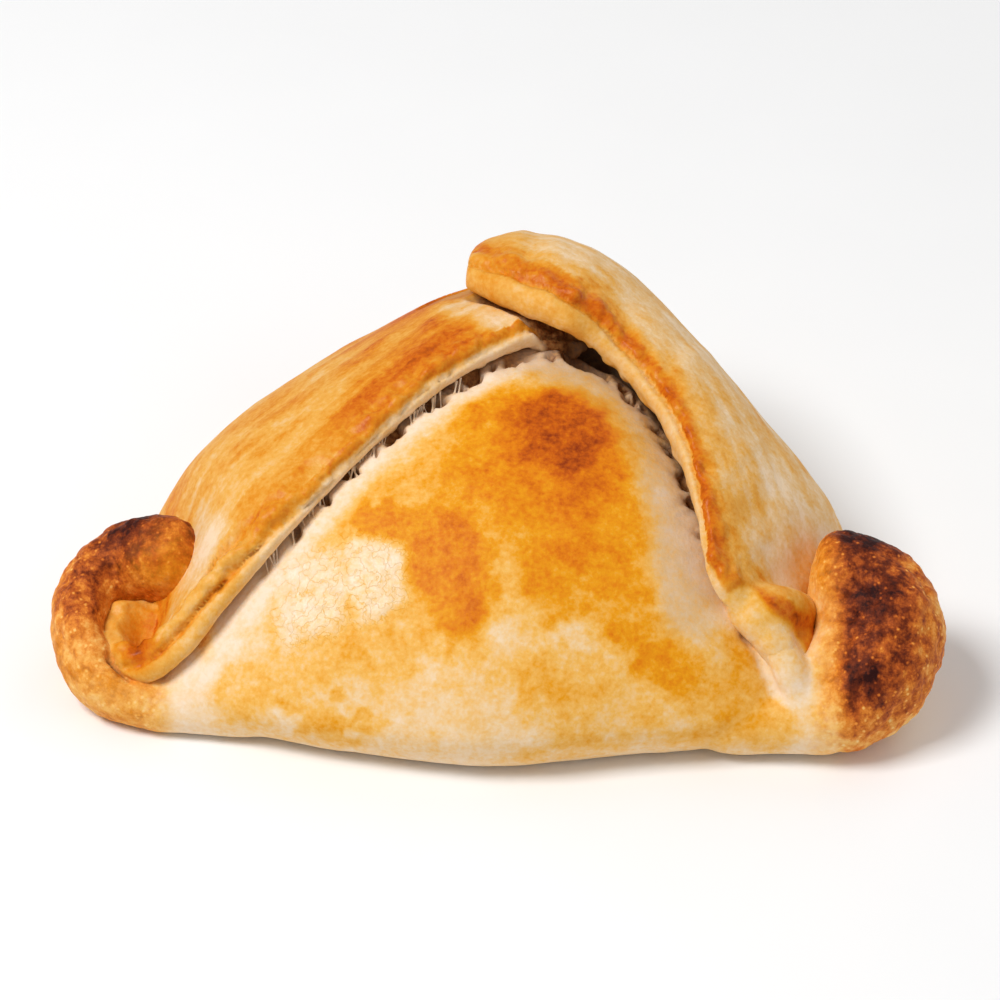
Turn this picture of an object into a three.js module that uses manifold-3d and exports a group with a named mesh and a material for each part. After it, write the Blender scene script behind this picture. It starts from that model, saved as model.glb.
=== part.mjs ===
// A baked half-moon turnover, its round border folded in as two flaps over the front, so that it lies as a triangle.
// One solid: the domed body, the left flap with its curled corner, the right flap lapped over it at the ridge,
// a dough ear at each front corner, and the pinched tuck beside the right ear.
// Millimetres. +X runs along the front fold, -Y faces the front, +Z is up, and the flat base lies at z = 0.
import * as THREE from "three";
import { LoftGeometry } from "three/addons/geometries/LoftGeometry.js";
import { mergeVertices } from "three/addons/utils/BufferGeometryUtils.js";
import Module from "manifold-3d";

// Middle of the whole piece in plan, in the frame of the tables below.
const PLAN_CENTRE = new THREE.Vector2(-0.67, 0.06);

// Domed body: its peak in plan, the height of its widest line, its top, and how far the base turns in.
const PEAK = new THREE.Vector2(6, 9);
const WIDEST_Z = 9;
const TOP_Z = 41.5;
const BASE_INSET = 7;

// Widest line of the body, counterclockwise from the middle of the front fold: x, y and how hollow the slope above it is.
const OUTLINE = [
  [-3, -51, 1.4],
  [22, -48.5, 1.4],
  [40, -45.5, 1.6],
  [51, -38, 1.9],
  [55, -20, 1.9],
  [50, 2, 1.6],
  [36, 24, 1.3],
  [8, 42, 1.2],
  [-26, 28, 1.3],
  [-52, 6, 1.6],
  [-62, -16, 1.9],
  [-59, -32, 1.9],
  [-47, -41, 1.8],
  [-27, -47, 1.5],
];

// Rim of a flap: two rolled layers of dough, one above the other.
const LOWER_ROLL = 2;
const UPPER_ROLL = 1.7;
const LAYER_STEP_ACROSS = 2.4;
const LAYER_STEP_UP = 1.5;
const UNDERSIDE_REACH = 9;
const UNDERSIDE_DROP = 3;
const SIDE_TURN_IN = 6;

// Stations of the left flap, from the end of its curl up to the ridge. Each row holds
// foot of the rim (x, y, z), widest point of the outer side (x, y, z), lean of the rim and slope of the top in degrees,
// share of the width that keeps the slope, fullness of the outer side, lift off the body, rim scale,
// and 0 for a single roll up to 1 for two layers.
const LEFT_FLAP = [
  [-60, -16.5, 11, -58.2, -23.6, 10, 0, -25, 0.3, 2.5, 0.2, 0.7, 0],
  [-64.4, -20.5, 9.4, -58.6, -24, 10, 0, -25, 0.3, 2.5, 0.2, 0.9, 0],
  [-65, -25.5, 8.3, -58.7, -24.6, 10, 0, -25, 0.3, 2.5, 0.2, 0.95, 0],
  [-63.4, -30.5, 7.6, -58.5, -25.2, 10, 0, -25, 0.3, 2.5, 0.2, 0.95, 0],
  [-60, -34.4, 7.5, -58.2, -25.4, 10, 5, -25, 0.3, 3, 0.2, 0.95, 0.2],
  [-56.3, -35.6, 8.4, -57.8, -22, 9.5, 10, -25, 0.3, 4, 0.2, 0.95, 0.5],
  [-51.8, -35.2, 11, -60, -12, 9, 15, -14, 0.35, 6, 0.2, 0.97, 0.8],
  [-47.5, -33.7, 15.3, -59, -1, 10, 20, 2, 0.4, 13, 0.2, 1, 1],
  [-39.5, -27.5, 21.8, -51, 14, 11, 25, 12, 0.42, 17, 0.4, 1, 1],
  [-30.2, -19.5, 28.3, -38, 28, 12, 25, 13, 0.42, 20, 0.7, 1, 1],
  [-20.8, -10.5, 33.8, -24, 37, 12, 22, 12, 0.42, 22, 0.9, 1, 1],
  [-11.3, -2, 38, -10, 43, 12, 18, 10, 0.42, 25, 0.9, 1, 1],
  [-1, 6, 40.7, 2, 46, 12, 14, 6, 0.42, 26, 0.5, 0.95, 1],
  [8, 11, 41.3, 12, 45, 12, 10, 2, 0.42, 25, 0.2, 0.85, 1],
  [16, 14, 39.5, 20, 41, 12, 10, 2, 0.42, 23, 0.2, 0.7, 1],
];

// Stations of the right flap, from the tongue under its ear up over the ridge to its blunt end, in the same columns.
const RIGHT_FLAP = [
  [51, -42.5, 7, 61, -18, 9, 10, -20, 0.3, 8, 0.2, 1, 0],
  [46.5, -42.5, 9.8, 61, -11, 9, 15, -30, 0.33, 10, 0.2, 1.3, 0],
  [42.2, -40, 14.5, 59, -5, 10, 20, -30, 0.35, 13, 0.2, 1.5, 0],
  [38, -36.3, 20, 57, 0, 11, 22, -5, 0.38, 15, 0.2, 1.35, 0.3],
  [34, -32, 24.7, 54, 5, 11, 25, 8, 0.4, 17, 0.4, 1.05, 1],
  [32.2, -22.5, 29.5, 49, 13, 12, 25, 10, 0.4, 18, 0.6, 1, 1],
  [29.4, -11.5, 33.2, 42, 22, 12, 22, 10, 0.4, 21, 0.9, 1, 1],
  [24, -1, 37.5, 35, 32, 12, 18, 10, 0.4, 25, 1.2, 1, 1],
  [16.7, 5.3, 42, 26, 41, 12, 12, 8, 0.4, 28, 1.8, 1, 1],
  [10.2, 8.8, 46, 16, 48, 12, 8, 5, 0.4, 31, 1.8, 1, 1],
  [3.4, 12.6, 46.6, 7, 51, 12, 5, 2, 0.4, 30.5, 1.4, 1, 1],
  [-3.3, 18.2, 46.2, 1, 50.5, 12, 4, -4, 0.36, 27, 1, 1, 1],
  [-6.5, 22.5, 44.9, -3, 49, 12, 4, -17, 0.32, 22, 0.8, 0.9, 1],
];

// Rolls of dough, each along a middle line: x, y, z, radius across and radius up.
const LEFT_EAR = [
  [-45, -39, 4.8, 3.8, 4.5],
  [-55, -37, 4.4, 4, 4.4],
  [-64, -33, 5.9, 4.4, 5.9],
  [-68.7, -25.8, 8.6, 4.6, 7.6],
  [-67.8, -17.5, 10.8, 5.4, 7.8],
  [-62.3, -12.8, 13, 6.2, 7],
  [-54.5, -12.8, 15.5, 5.8, 6.5],
  [-46.8, -14.5, 17.2, 4.5, 5],
];
const RIGHT_EAR = [
  [41, -42, 6.3, 4, 5],
  [50, -41.8, 7.6, 6.2, 7.2],
  [58.5, -38, 9.2, 8.7, 9.2],
  [62.2, -29.2, 11.5, 10.3, 11],
  [57.5, -20.8, 14.3, 9.8, 10],
  [52.5, -16.5, 16, 6, 7],
];
const RIGHT_TUCK = [
  [37, -32, 24.5, 3, 3],
  [42, -32.5, 23.3, 3.6, 3.6],
  [47, -31.5, 21.3, 3.8, 3.6],
  [52, -29.5, 18.8, 3.6, 3.4],
  [57, -28, 16.5, 3, 3],
];
const LEFT_PAD = [
  [-47, -33, 4, 6, 5],
  [-56, -29, 4.5, 9, 5.2],
  [-62, -22, 5, 9, 5.5],
  [-60, -12, 6, 7, 7],
];

// How finely each surface is divided.
const BODY_RING = 60;
const BODY_RISE = 13;
const BODY_FOOT = 3;
const FLAP_STATIONS = 46;
const FLAP_POINTS = { underside: 1, lowerRoll: 5, upperRoll: 4, top: 11, side: 3, base: 1, inside: 1 };
const ROLL_STATIONS = 18;
const ROLL_POINTS = 16;

const CRUST_COLOUR = "#d79a4e";

// A smooth run through evenly spaced rows of numbers: t from 0 to 1 gives one row.
function run(rows, closed = false) {
  const curves = rows[0].map((_, column) => {
    const points = rows.map((row) => new THREE.Vector3(row[column], 0, 0));
    return new THREE.CatmullRomCurve3(points, closed, "catmullrom", 0.5);
  });
  return (t) => curves.map((curve) => curve.getPoint(t).x);
}

// Evenly spaced shares from 0 up to, but without, 1.
function shares(count) {
  return Array.from({ length: count }, (_, i) => i / count);
}

// Stations along a piece as [t, scale]: the scale falls off as a quarter round over the first and last stretch.
function roundedStations(count, startShare, endShare) {
  const inner = Array.from({ length: count + 1 }, (_, i) => startShare + (i / count) * (1 - startShare - endShare));
  const turns = [0.5, 0.85, 0.97];
  const start = turns.map((x) => [startShare * (1 - x), Math.sqrt(1 - x * x)]).reverse();
  const end = turns.map((x) => [1 - endShare * (1 - x), Math.sqrt(1 - x * x)]);
  return [...start, ...inner.map((t) => [t, 1]), ...end];
}

// A section drawn towards its own middle, and kept above the base.
function drawnIn(section, scale) {
  const middle = section.reduce((sum, p) => sum.add(p), new THREE.Vector3()).divideScalar(section.length);
  for (const p of section) {
    p.lerpVectors(middle, p, scale);
    p.z = Math.max(p.z, 0);
  }
  return section;
}

// One ring of the body. A level below 0 turns in under the widest line to the base, above 0 it climbs to the top.
function bodyRing(outline, level) {
  const turn = (Math.abs(level) * Math.PI) / 2;
  return shares(BODY_RING).map((t) => {
    const [x, y, hollow] = outline(t);
    const out = new THREE.Vector2(x, y).sub(PEAK);
    const reach = level < 0 ? 1 - (BASE_INSET * (1 - Math.cos(turn))) / out.length() : Math.cos(turn);
    const z =
      level < 0 ? WIDEST_Z * (1 - Math.sin(turn)) : WIDEST_Z + (TOP_Z - WIDEST_Z) * Math.sin(turn) ** hollow;
    return new THREE.Vector3(PEAK.x + out.x * reach, PEAK.y + out.y * reach, z);
  });
}

function bodyGeometry() {
  const outline = run(OUTLINE, true);
  const foot = shares(BODY_FOOT).map((share) => share - 1);
  const rise = shares(BODY_RISE);
  const rings = [...foot, ...rise, 0.985].map((level) => bodyRing(outline, level));
  return new LoftGeometry(rings, { capStart: true, capEnd: true });
}

// Points of an arc in a section's plane, from one angle in degrees towards another.
function arc(centre, radius, from, to, count) {
  return shares(count).map((share) => {
    const angle = THREE.MathUtils.degToRad(from + (to - from) * share);
    return new THREE.Vector2(centre.x + radius * Math.cos(angle), centre.y + radius * Math.sin(angle));
  });
}

// Points of a straight stretch in a section's plane.
function straight(from, to, count) {
  return shares(count).map((share) => from.clone().lerp(to, share));
}

// One section of a flap, in the upright plane from the foot of the rim to the widest point of the outer side.
function flapSection(row) {
  const [fx, fy, fz, wx, wy, wz, leanDegrees, slopeDegrees, hold, fullness, lift, scale, layered] = row;
  const layers = THREE.MathUtils.clamp(layered, 0, 1);
  const lean = THREE.MathUtils.degToRad(leanDegrees);
  const slope = THREE.MathUtils.degToRad(slopeDegrees);
  const across = new THREE.Vector2(wx - fx, wy - fy);
  const width = across.length();
  across.normalize();
  const drop = wz - fz;
  const origin = new THREE.Vector2();

  // The rim, upright, before it leans back.
  const lowerRadius = LOWER_ROLL * scale;
  const upperRadius = lowerRadius + (UPPER_ROLL - LOWER_ROLL) * scale * layers;
  const lower = new THREE.Vector2(lowerRadius, lift + lowerRadius);
  const step = new THREE.Vector2(LAYER_STEP_ACROSS, LAYER_STEP_UP).multiplyScalar(scale * layers);
  const upper = lower.clone().add(step);
  const underside = new THREE.Vector2(UNDERSIDE_REACH * scale, -UNDERSIDE_DROP);
  const rim = [
    ...straight(underside, new THREE.Vector2(lower.x, lower.y - lowerRadius), FLAP_POINTS.underside),
    ...arc(lower, lowerRadius, -90, -165 - 110 * layers, FLAP_POINTS.lowerRoll),
    ...arc(upper, upperRadius, 195 - 30 * layers, 70, FLAP_POINTS.upperRoll),
  ];
  const crest = arc(upper, upperRadius, 70, 70, 1)[0];
  for (const p of [...rim, crest, underside]) p.rotateAround(origin, lean);

  // The top behind the rim, the outer side turning under, and the base.
  const top = new THREE.CubicBezierCurve(
    crest,
    new THREE.Vector2(crest.x + hold * width * Math.cos(slope), crest.y + hold * width * Math.sin(slope)),
    new THREE.Vector2(width, drop + fullness),
    new THREE.Vector2(width, drop),
  );
  const turnIn = Math.min(SIDE_TURN_IN, 0.4 * width);
  const side = shares(FLAP_POINTS.side).map((share) => {
    const turn = (share * Math.PI) / 2;
    return new THREE.Vector2(width - turnIn * (1 - Math.cos(turn)), drop - wz * Math.sin(turn));
  });
  const baseOuter = new THREE.Vector2(width - turnIn, -fz);
  const baseInner = new THREE.Vector2(Math.min(0.5 * width, 14), -fz);
  const outline = [
    ...rim,
    ...shares(FLAP_POINTS.top).map((share) => top.getPoint(share)),
    ...side,
    ...straight(baseOuter, baseInner, FLAP_POINTS.base),
    ...straight(baseInner, underside, FLAP_POINTS.inside),
  ];
  return outline.map((p) => new THREE.Vector3(fx + across.x * p.x, fy + across.y * p.x, fz + p.y));
}

// A flap lofted through its stations. The left one runs the other way round its sections.
function flapGeometry(rows, mirrored, startShare, endShare) {
  const station = run(rows);
  const sections = roundedStations(FLAP_STATIONS, startShare, endShare).map(([t, scale]) => {
    const section = drawnIn(flapSection(station(t)), scale);
    return mirrored ? section.reverse() : section;
  });
  return new LoftGeometry(sections, { capStart: true, capEnd: true });
}

// A roll of dough: an oval section carried along its middle line, flattened where it meets the base.
function rollGeometry(rows) {
  const line = run(rows);
  const up = new THREE.Vector3(0, 0, 1);
  const sections = roundedStations(ROLL_STATIONS, 0.12, 0.16).map(([t, scale]) => {
    const [x, y, z, radiusAcross, radiusUp] = line(t);
    const before = line(Math.max(t - 0.001, 0));
    const after = line(Math.min(t + 0.001, 1));
    const tangent = new THREE.Vector3(after[0] - before[0], after[1] - before[1], after[2] - before[2]).normalize();
    const side = new THREE.Vector3().crossVectors(up, tangent).normalize();
    const rise = new THREE.Vector3().crossVectors(tangent, side);
    return shares(ROLL_POINTS).map((share) => {
      const angle = share * Math.PI * 2;
      const p = new THREE.Vector3(x, y, z);
      p.addScaledVector(side, radiusAcross * scale * Math.cos(angle));
      p.addScaledVector(rise, radiusUp * scale * Math.sin(angle));
      p.z = Math.max(p.z, 0);
      return p;
    });
  });
  return new LoftGeometry(sections, { capStart: true, capEnd: true });
}

const wasm = await Module();
wasm.setup();

// A closed geometry as a solid.
function solidOf(geometry) {
  const bare = new THREE.BufferGeometry().setAttribute("position", geometry.attributes.position).setIndex(geometry.index);
  const merged = mergeVertices(bare, 1e-4);
  const corners = merged.index.array;
  const kept = [];
  for (let i = 0; i < corners.length; i += 3) {
    const [a, b, c] = [corners[i], corners[i + 1], corners[i + 2]];
    if (a !== b && b !== c && c !== a) kept.push(a, b, c);
  }
  const mesh = new wasm.Mesh({
    numProp: 3,
    vertProperties: merged.attributes.position.array,
    triVerts: new Uint32Array(kept),
  });
  return new wasm.Manifold(mesh);
}

// A solid as a geometry whose origin is at the middle of the base.
function geometryOf(solid) {
  const mesh = solid.getMesh();
  const geometry = new THREE.BufferGeometry();
  geometry.setAttribute("position", new THREE.BufferAttribute(new Float32Array(mesh.vertProperties), 3));
  geometry.setIndex(new THREE.BufferAttribute(new Uint32Array(mesh.triVerts), 1));
  geometry.translate(-PLAN_CENTRE.x, -PLAN_CENTRE.y, 0);
  geometry.computeVertexNormals();
  return geometry;
}

const pieces = [
  bodyGeometry(),
  flapGeometry(LEFT_FLAP, true, 0.02, 0.02),
  flapGeometry(RIGHT_FLAP, false, 0.02, 0.03),
  rollGeometry(LEFT_EAR),
  rollGeometry(RIGHT_EAR),
  rollGeometry(RIGHT_TUCK),
  rollGeometry(LEFT_PAD),
];
const whole = pieces.map(solidOf).reduce((joined, piece) => joined.add(piece));

const crust = new THREE.MeshStandardMaterial({ color: CRUST_COLOUR, roughness: 0.55, metalness: 0 });
const empanada = new THREE.Mesh(geometryOf(whole), crust);
empanada.name = "empanada";

const group = new THREE.Group();
group.add(empanada);
export default group;
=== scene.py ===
# Baked empanada: the dressed crust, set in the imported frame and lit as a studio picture.
import math
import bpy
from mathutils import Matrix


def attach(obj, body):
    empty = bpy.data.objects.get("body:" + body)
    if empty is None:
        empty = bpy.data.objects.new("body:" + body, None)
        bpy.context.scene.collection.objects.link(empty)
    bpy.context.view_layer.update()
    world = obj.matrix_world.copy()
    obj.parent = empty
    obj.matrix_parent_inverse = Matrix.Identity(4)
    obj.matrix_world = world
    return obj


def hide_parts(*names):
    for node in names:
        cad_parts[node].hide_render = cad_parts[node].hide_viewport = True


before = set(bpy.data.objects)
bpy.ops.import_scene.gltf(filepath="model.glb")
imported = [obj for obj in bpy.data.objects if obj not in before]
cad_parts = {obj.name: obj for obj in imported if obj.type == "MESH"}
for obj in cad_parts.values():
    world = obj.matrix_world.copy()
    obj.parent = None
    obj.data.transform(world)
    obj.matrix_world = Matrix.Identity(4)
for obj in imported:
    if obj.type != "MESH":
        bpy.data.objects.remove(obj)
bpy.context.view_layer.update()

from types import SimpleNamespace

import bpy
import numpy as np
from mathutils import Vector
from mathutils.bvhtree import BVHTree
from mathutils.kdtree import KDTree

# Sizes below are in millimetres, in the drawing that the part's source uses.
MM = 0.001
PLAN_CENTRE = np.array([-0.67, 0.06, 0.0])

# Filled dome: its widest outline, peak and heights.
PEAK = np.array([6.0, 9.0])
WIDEST_Z = 9.0
TOP_Z = 41.5
BASE_INSET = 7.0
DOME_AROUND = 300
DOME_FOOT = 18
DOME_RISE = 110
# x, y, hollow of the slope
OUTLINE = [
    (-3, -51, 1.4), (22, -48.5, 1.4), (40, -45.5, 1.6), (49, -38, 1.9), (50, -20, 1.9),
    (42, -2, 1.6), (30, 14, 1.3), (8, 26, 1.2), (-20, 18, 1.3), (-42, 2, 1.6),
    (-51, -16, 1.9), (-55, -33, 1.9), (-46, -41.5, 1.8), (-27, -47, 1.5),
]

# Folded flaps: a rim of two dough layers, a top that falls to the widest line, and a side below.
RIM_ROLLS = {"left": (2.2, 1.5), "right": (2.4, 1.3)}
# offset of the upper layer's roll from the lower one, back and up
LAYER_STEPS = {"left": (3.0, 1.8), "right": (2.5, 1.6)}
UNDERSIDE_REACH = 9.0
UNDERSIDE_DROP = 3.0
SIDE_TURN_IN = 6.0
BASE_REACH = 14.0
CREST_TURN = 70
# degrees with one layer, and added by a second: turn of the lower roll, start of the upper one
LOWER_TURN = (75, 140)
UPPER_START = (195, -10)
# waver along the rim of its lift and its scale, as layers of bumps: size, share, seed
LIFT_WAVER = [(2.4, 0.5, 0)]
SCALE_WAVER = [(5, 0.06, 1)]
RIM_LENGTH = 140
FLAP_STATIONS = 400
FLAP_POINTS = {"underside": 6, "lower": 26, "upper": 22, "top": 80, "side": 12, "base": 3, "inside": 3}
# rim foot x, y, z | widest x, y, z | lean | slope | hold | fullness | lift | scale | layers
LEFT_FLAP = [
    (-54.5, -19.8, 9.2, -57.5, -27, 7.2, 0, -20, .4, .6, .2, .6, 0),
    (-61.5, -18.8, 9.6, -58.2, -27.2, 7, 0, -20, .4, .6, .2, .7, 0),
    (-65.2, -24.6, 9, -58.5, -27.6, 6.9, 0, -24, .4, .6, .2, .8, 0),
    (-64.2, -30.8, 8, -58.4, -28, 6.8, 0, -30, .35, .6, .2, .9, 0),
    (-60.6, -35.2, 7.4, -58.2, -28.2, 6.8, 5, -45, .3, .6, .2, 1.05, .3),
    (-56.6, -36.8, 7.9, -57.6, -27, 7.2, 10, -55, .3, .8, .2, 1.08, .7),
    (-51.8, -36, 10.8, -57, -20, 8.2, 12, -60, .3, 1.2, .2, 1.05, 1),
    (-47.5, -33.7, 15.3, -60.5, -6, 9.6, 14, -56, .3, 1.5, .2, 1.05, 1),
    (-39.8, -26.7, 22.3, -54, 11.5, 11, 25, 6, .42, 12, .4, 1, .9),
    (-30.4, -18.2, 28.9, -38, 27, 12, 25, 13, .42, 19, .5, 1, .4),
    (-20.9, -9.2, 34.3, -24, 37, 12, 22, 12, .42, 22, .45, 1, .35),
    (-11.3, -0.8, 38.4, -10, 43, 12, 18, 10, .42, 25, .3, 1, .4),
    (-1, 6.6, 40.9, 2, 46, 12, 14, 6, .42, 26, .2, .9, .5),
    (8, 11, 41.1, 12, 45, 12, 10, 2, .42, 25, .2, .64, 1),
    (16, 16, 36.5, 20, 41, 12, 10, 2, .42, 23, .2, .5, 1),
]
RIGHT_FLAP = [
    (48.5, -37.5, 7, 61, -18, 9, 10, -30, .3, 6, .2, .5, 0),
    (45.5, -35.5, 11, 61, -11, 9, 15, -30, .3, 7, .2, .6, 0),
    (41.6, -34.8, 17, 59, -5, 10, 20, -20, .3, 10, .2, .9, 0),
    (37, -35.2, 21.2, 57, 0, 11, 22, -3, .36, 14, .2, 1.15, .2),
    (34, -32, 24.7, 54, 5, 11, 25, 4, .4, 17, .4, 1.1, .3),
    (32.2, -22.5, 29.5, 49, 13, 12, 25, 8, .4, 18, .4, 1.05, .7),
    (29.4, -11.2, 33, 42, 22, 12, 22, 10, .4, 21, .4, 1, 1),
    (24, 0.4, 36.4, 35, 31, 12, 18, 10, .4, 23, .5, 1, 1),
    (16.8, 7.2, 40.6, 26, 41, 12, 12, 9, .4, 29, .6, 1.06, 1),
    (10.2, 8.2, 44.8, 16, 48, 12, 8, 7, .4, 31.5, .4, 1.26, 1),
    (3.4, 12.4, 45.6, 7, 51, 12, 5, 2, .4, 30.5, .2, 1.26, 1),
    (-3.3, 18.2, 45.4, 1, 50.5, 12, 4, -4, .36, 27, .2, 1.02, 1),
    (-6.5, 22.5, 44.9, -3, 49, 12, 4, -17, .32, 22, .2, .8, 1),
]
FLAP_ROUNDING = {"left": (0.02, 0.02), "right": (0.02, 0.03)}

# Rolls of dough: x, y, z of the middle, radius across, radius up.
ROLL_STATIONS = 120
ROLL_POINTS = 72
ROLL_ROUNDING = (0.12, 0.14)
EAR_ROUNDING = (0.12, 0.08)
LEFT_EAR = [
    (-35, -40.6, 4.4, 3.2, 4.2), (-45, -38.4, 4.4, 3.7, 4.3), (-55, -36.6, 4.3, 4, 4.3),
    (-64, -33, 5.9, 4.4, 5.9), (-68.7, -25.8, 8.6, 4.6, 7.6), (-67.8, -17.5, 10.8, 5.4, 7.8),
    (-62.5, -12.8, 13.5, 6.4, 7.2), (-56.2, -14.4, 16.6, 6.6, 7.4), (-49.2, -18.4, 19, 5.8, 6.6),
]
RIGHT_EAR = [
    (31, -44.2, 5, 3.4, 4.8), (41, -43.2, 5.4, 3.9, 5), (50.5, -42.6, 6.5, 5.7, 6),
    (58.3, -38.4, 9.6, 8.6, 9.2), (62.2, -31.4, 13, 9.8, 10.6), (60.4, -25.8, 16.4, 9.8, 9.8),
    (55.5, -23.2, 18.6, 9, 8.2), (50.2, -22.4, 19.4, 7.6, 7),
]
RIGHT_LIP = [
    (54.4, -20.5, 20.2, 3.8, 4.2), (55, -25.5, 18.6, 4.2, 4.6), (55.4, -30, 17.4, 4.4, 4.8),
    (54.6, -35, 14.6, 4.8, 5), (51.4, -38.8, 11.2, 4.8, 4.8), (47.8, -41, 8.6, 4, 4.2),
]
RIGHT_TONGUE = [
    (38, -34.7, 23.4, 2.4, 2.4), (40.8, -35.5, 21.2, 3.1, 3.1), (43.2, -36.4, 18.9, 3.4, 3.4),
    (45, -38.2, 16.5, 3, 3), (46.4, -40.1, 14, 2.2, 2.2),
]
TONGUE_FOOT = [
    (42, -36, 20, 2, 2), (43.6, -37, 18.2, 2.6, 2.6), (45, -38.4, 16.4, 3, 3),
    (46.4, -40.2, 14, 3.2, 3.2), (47.8, -41.4, 11, 3.1, 3.1), (49.4, -42.3, 8.4, 2.8, 2.8),
]
RIGHT_TROUGH = [(46.4, -30.6, 17, 3.3, 3.3), (48, -34.4, 14.2, 3.3, 3.3), (48.4, -38.4, 10.8, 3, 3)]
RIGHT_WEB = [(46.2, -40.2, 11.6, 2.8, 2.8), (48.8, -40.6, 11, 3.2, 3.2), (51.8, -39.6, 10.6, 2.8, 2.8)]
RIGHT_TUCK = [
    (36, -33, 22.5, 2.5, 2.5), (40.5, -33.6, 21.6, 4, 4.4), (44, -32.6, 20.6, 4.2, 4.6),
    (47, -30.4, 18.4, 3.6, 4.2), (50, -27.5, 16, 3, 3),
]
LEFT_PAD = [(-47, -33, 3, 6, 4), (-56, -29, 2.2, 8, 3.4), (-61, -22, 3, 8, 3.8), (-60, -12, 6, 7, 7)]
BODY_ROLLS = [LEFT_PAD, RIGHT_LIP, TONGUE_FOOT, RIGHT_WEB]
RIGHT_FLAP_ROLLS = [RIGHT_TUCK, RIGHT_TONGUE, RIGHT_TROUGH]

# Skins: the cell size in which each is joined from its rolls and sheets.
BODY_VOXEL = 0.57
FLAP_VOXEL = 0.47
# how far a skin is relaxed in each round, and rounds: all over, at the corners, along its small rolls
BODY_RELAX = (0.5, 4)
FLAP_RELAX = (0.35, 2)
CORNER_RELAX = (0.6, 40)
ROLL_RELAX = (0.5, 26)
ROLL_RELAX_REACH = 5.0
# distance from the small rolls over which the relief of a flap comes in
ROLL_SMOOTH = (3, 7)
# a skin lower than this stands on the floor
BASE_CATCH = 0.05
# x, y, z, radius of the corners where an ear runs out into the front panel
CORNER_BLENDS = [(46, -47.5, 4.5, 7), (49, -43.5, 11, 3), (-46, -41, 7, 11)]
# slit between the left curl and its ear: x, y, z along it, width, depth
CURL_SLIT = [(-62.8, -33.4, 11.8), (-61.4, -35, 11.1), (-59.6, -36.6, 10.2)]
CURL_SLIT_WIDTH = 0.9
CURL_SLIT_DEPTH = 2.2
# distance from the middle of the tongue within which the dough is pale
TONGUE_PALE = (4.4, 3.2)
# crease in the panel along the tongue's left edge: x, y, z along it, width, depth
TONGUE_CREASE = [
    (39.7, -36.4, 19.1), (41.6, -37.4, 17.2), (43, -39.4, 14.9), (44.6, -41.2, 12.2), (45.6, -42.2, 10.3),
]
TONGUE_CREASE_WIDTH = 1.3
TONGUE_CREASE_DEPTH = 1.4

# Torn seams beside the rims: the rows of each flap between which the dough has pulled apart.
LEFT_TEAR_ROWS = (8.6, 12.6)
RIGHT_TEAR_ROWS = (5.0, 9.4)
# lift of the rim; depth, width and distance in under the rim of the groove in the panel below it
LEFT_TEAR = (0.2, 0.6, 1.2, -0.5)
RIGHT_TEAR = (0.1, 0.4, 1.2, 0.5)
TEAR_REACH = 14.0
# Where the right flap laps over the left one: rows, reach, drop of the dough below.
LAP_ROWS = (8.4, 11.8)
LAP_REACH = 9.0
LAP_DROP = 1.6
# only dough above this height drops under the lap or into a hole
RIDGE_Z = 20
# Groove behind the doubled strip at the left corner: rows, distance behind its crest, width, depth.
STRIP_ROWS = (4.3, 8.0)
STRIP_GROOVE = (2.2, 1.1, 1.9)
# Webs of torn dough in the seams: width of one, rise, depth of the pits between them.
WEB_WIDTH = 1.7
WEB_RISE = 0.5
PIT_DEPTH = 1.1
# width and rise of the fibres in the stretched dough beside a seam
FIBRE_WIDTH = 1.0
FIBRE_RISE = 0.16
# x, y, radius, depth of the holes torn open at the ridge
TORN_HOLES = [(14.3, 10.3, 3.6, 6.0), (21.4, 2.0, 1.3, 2.0)]

# Baked patches of the front panel, and one painted shadow. A later one only darkens what it covers.
# x, y, radius x, radius y, turn in degrees, browning in its middle
PANEL_PATCHES = [
    (-9, -24, 31, 19, 22, .42), (22, -36, 17, 10, -35, .36), (2, -43, 20, 7, 0, .26),
    (10, -46.5, 9, 5, 0, .40), (19, -47, 8, 3.5, 0, .36), (7.5, -12, 19, 16, 0, .60),
    (13.5, -26, 12, 13, 0, .60), (10, -33, 8, 6, 0, .54), (-8.5, -31.5, 7, 10.5, 20, .68),
    (-17, -24.5, 8.5, 3.8, -18, .60), (17, -35, 6.5, 5, 0, .56), (24, -40, 8, 4.5, -30, .56),
    # (39, -40.5, 3, 5) is a painted shadow cast by the tongue on the panel, not a baked patch
    (31, -43.6, 7, 3.5, -30, .46), (39, -45.4, 8, 3.5, 0, .45), (39, -40.5, 3, 5, -30, .46),
    (-36, -42.2, 11, 3.6, -14, .34), (-28, -46, 10, 0.9, -12, .42), (10.5, -9, 9.5, 9.5, 0, .87),
    (12.3, -18, 4.5, 7, 10, .76), (5, -17, 9, 7, 0, .68),
]
# Glossy wrinkled patches, whose pale colour is a painted highlight: x, y, radius x, radius y
GLARE_PATCHES = [(-30.2, -31.6, 5.4, 6.6), (-20.6, -31.2, 4.6, 6.2)]
# spread at which a patch is half browned, and how softly its edge fades
PATCH_EDGE = 0.40
PATCH_SOFTNESS = 0.23

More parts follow.
